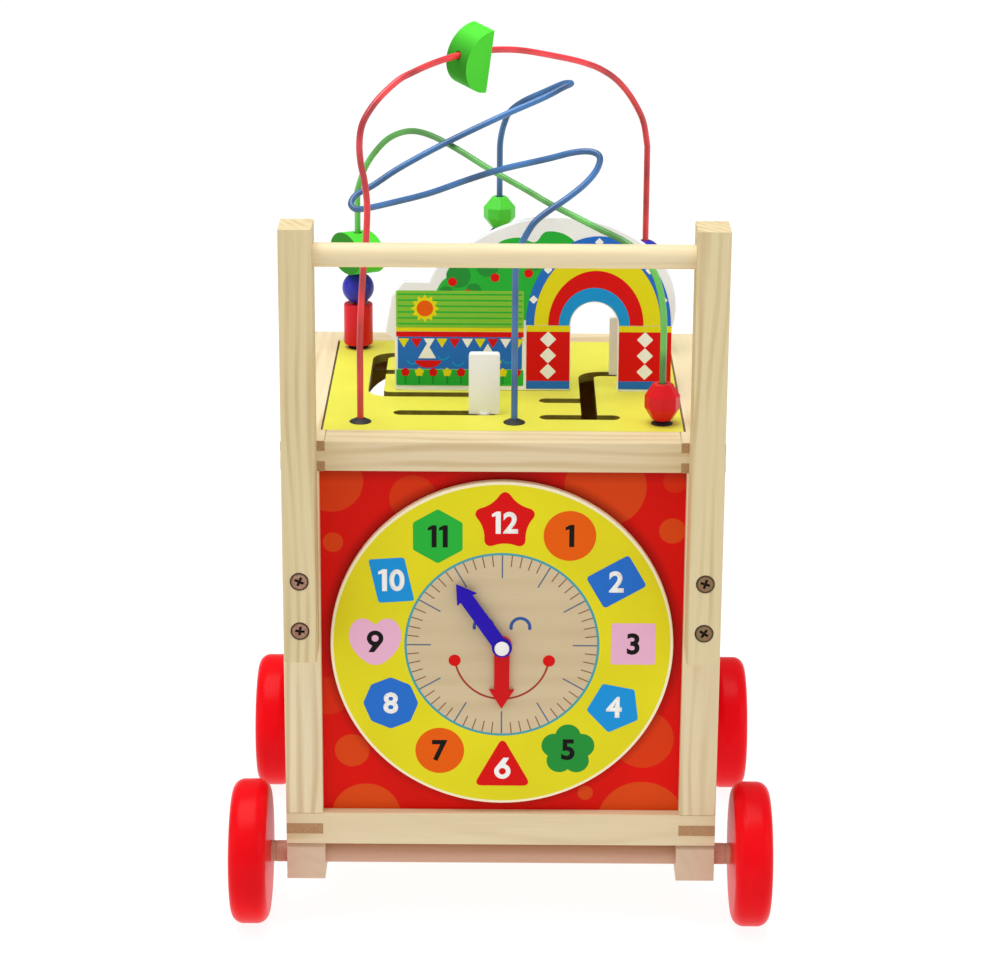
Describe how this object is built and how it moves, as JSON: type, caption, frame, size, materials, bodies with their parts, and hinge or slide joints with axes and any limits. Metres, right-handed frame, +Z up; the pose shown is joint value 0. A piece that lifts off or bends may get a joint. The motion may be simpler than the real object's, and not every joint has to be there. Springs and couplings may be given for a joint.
{
  "type": "wooden baby walker",
  "caption": "Push-along wooden box on wheels with an upright push handle, a clock face with turning hands, bead wires above a board with sliding figures.",
  "frame": {"origin": "centre of the object's bounding box in X and Y, on the floor under the wheels", "axes": "+Z up; +X to the right of a child who stands at the handle and looks along +Y, the way the walker is pushed"},
  "size_m": [0.355, 0.324, 0.5795],
  "materials": {
    "pine": "clear lacquered pine",
    "beech_dowel": "sanded beech dowel",
    "red_lacquer": "glossy red lacquer over wood",
    "red_print": "plywood printed red with orange circles",
    "yellow_board": "plywood painted yellow, satin",
    "plain_plywood": "bare birch plywood",
    "scenery_print": "plywood with a printed face, white edges",
    "clock_print": "birch plywood printed with a yellow ring",
    "screw_bronze": "bronze-coloured screw",
    "zinc": "zinc-plated nut",
    "white_plastic": "glossy white plastic",
    "blue_plastic": "glossy blue plastic",
    "red_plastic": "glossy red plastic",
    "red_coat": "red powder-coated steel wire",
    "blue_coat": "blue powder-coated steel wire",
    "green_coat": "green powder-coated steel wire",
    "black_rubber": "black rubber grommet",
    "bead_red": "glossy red lacquered wood",
    "bead_green": "satin green lacquered wood",
    "bead_blue": "glossy blue lacquered wood",
    "bead_yellow": "glossy yellow lacquered wood",
    "figure_white": "white lacquered wood"
  },
  "bodies": {
    "frame": {"bottom_rail_front": "pine", "bottom_rail_rear": "pine", "bottom_rail_left": "pine", "bottom_rail_right": "pine", "top_rail_front": "pine", "top_rail_rear": "pine", "top_rail_left": "pine", "top_rail_right": "pine", "corner_post_front_left": "pine", "corner_post_front_right": "pine", "corner_post_rear_left": "pine", "corner_post_rear_right": "pine", "axle_block_front_left": "beech_dowel", "axle_block_front_right": "beech_dowel", "axle_block_rear_left": "beech_dowel", "axle_block_rear_right": "beech_dowel", "clock_panel": "red_print", "side_panel_left": "red_print", "side_panel_right": "red_print", "back_panel": "yellow_board", "floor_panel": "plain_plywood", "top_board": "yellow_board", "scenery_board": "scenery_print", "handle_post_left": "pine", "handle_post_right": "pine", "handle_bar": "pine", "handle_screws": "screw_bronze", "clock_disc": "clock_print", "clock_pin": "white_plastic", "clock_pin_nut": "zinc", "red_wire": "red_coat", "blue_wire": "blue_coat", "green_wire": "green_coat", "wire_grommets": "black_rubber"},
    "front_wheels": {"front_axle": "beech_dowel", "wheel_front_left": "red_lacquer", "wheel_front_right": "red_lacquer"},
    "rear_wheels": {"rear_axle": "beech_dowel", "wheel_rear_left": "red_lacquer", "wheel_rear_right": "red_lacquer"},
    "long_hand": {"minute_hand": "blue_plastic"},
    "short_hand": {"hour_hand": "red_plastic"},
    "front_right_bead": {"bead_front_right": "bead_red"},
    "red_arch_bead": {"bead_red_arch": "bead_green"},
    "left_bead_1": {"bead_left_1": "bead_red"},
    "left_bead_2": {"bead_left_2": "bead_blue"},
    "left_bead_3": {"bead_left_3": "bead_green"},
    "middle_bead_1": {"bead_middle_1": "bead_red"},
    "middle_bead_2": {"bead_middle_2": "bead_yellow"},
    "middle_bead_3": {"bead_middle_3": "bead_blue"},
    "middle_bead_4": {"bead_middle_4": "bead_green"},
    "right_bead_1": {"bead_right_1": "bead_green"},
    "right_bead_2": {"bead_right_2": "bead_yellow"},
    "right_bead_3": {"bead_right_3": "bead_blue"},
    "left_figure": {"figure_left": "figure_white", "figure_left_keeper": "plain_plywood"},
    "right_figure": {"figure_right": "figure_white", "figure_right_keeper": "plain_plywood"}
  },
  "joints": [
    {"name": "front_wheels_roll", "type": "hinge", "parent": "frame", "child": "front_wheels", "pos_m": [0, -0.1145, 0.0475], "axis": [1, 0, 0], "continuous": true},
    {"name": "rear_wheels_roll", "type": "hinge", "parent": "frame", "child": "rear_wheels", "pos_m": [0, 0.1145, 0.0475], "axis": [1, 0, 0], "continuous": true},
    {"name": "long_hand_turn", "type": "hinge", "parent": "frame", "child": "long_hand", "pos_m": [0, -0.1275, 0.1975], "axis": [0, 1, 0], "continuous": true},
    {"name": "short_hand_turn", "type": "hinge", "parent": "frame", "child": "short_hand", "pos_m": [0, -0.1275, 0.1975], "axis": [0, 1, 0], "continuous": true},
    {"name": "front_right_bead_slide", "type": "slide", "parent": "frame", "child": "front_right_bead", "axis": [0, 0, 1], "range_m": [0, 0.038]},
    {"name": "red_arch_bead_travel", "type": "hinge", "parent": "frame", "child": "red_arch_bead", "pos_m": [-0.01927, -0.01584, 0.341], "axis": [-0.6916, 0.7223, 0], "range_deg": [-12, 15]},
    {"name": "left_bead_1_slide", "type": "slide", "parent": "frame", "child": "left_bead_1", "axis": [0, 0, 1], "range_m": [0, 0.008]},
    {"name": "left_bead_2_slide", "type": "slide", "parent": "left_bead_1", "child": "left_bead_2", "axis": [0, 0, 1], "range_m": [0, 0.008]},
    {"name": "left_bead_3_slide", "type": "slide", "parent": "left_bead_2", "child": "left_bead_3", "axis": [0, 0, 1], "range_m": [0, 0.012]},
    {"name": "middle_bead_1_slide", "type": "slide", "parent": "frame", "child": "middle_bead_1", "axis": [0, 0, 1], "range_m": [0, 0.007]},
    {"name": "middle_bead_2_slide", "type": "slide", "parent": "middle_bead_1", "child": "middle_bead_2", "axis": [0, 0, 1], "range_m": [0, 0.007]},
    {"name": "middle_bead_3_slide", "type": "slide", "parent": "middle_bead_2", "child": "middle_bead_3", "axis": [0, 0, 1], "range_m": [0, 0.007]},
    {"name": "middle_bead_4_slide", "type": "slide", "parent": "middle_bead_3", "child": "middle_bead_4", "axis": [0, 0, 1], "range_m": [0, 0.01]},
    {"name": "right_bead_1_slide", "type": "slide", "parent": "frame", "child": "right_bead_1", "axis": [0, 0, 1], "range_m": [0, 0.02]},
    {"name": "right_bead_2_slide", "type": "slide", "parent": "right_bead_1", "child": "right_bead_2", "axis": [0, 0, 1], "range_m": [0, 0.02]},
    {"name": "right_bead_3_slide", "type": "slide", "parent": "right_bead_2", "child": "right_bead_3", "axis": [0, 0, 1], "range_m": [0, 0.024]},
    {"name": "left_figure_slide", "type": "slide", "parent": "frame", "child": "left_figure", "axis": [1, 0, 0], "range_m": [-0.053, 0.003]},
    {"name": "right_figure_slide", "type": "slide", "parent": "frame", "child": "right_figure", "axis": [1, 0, 0], "range_m": [-0.015, 0.003]}
  ]
}
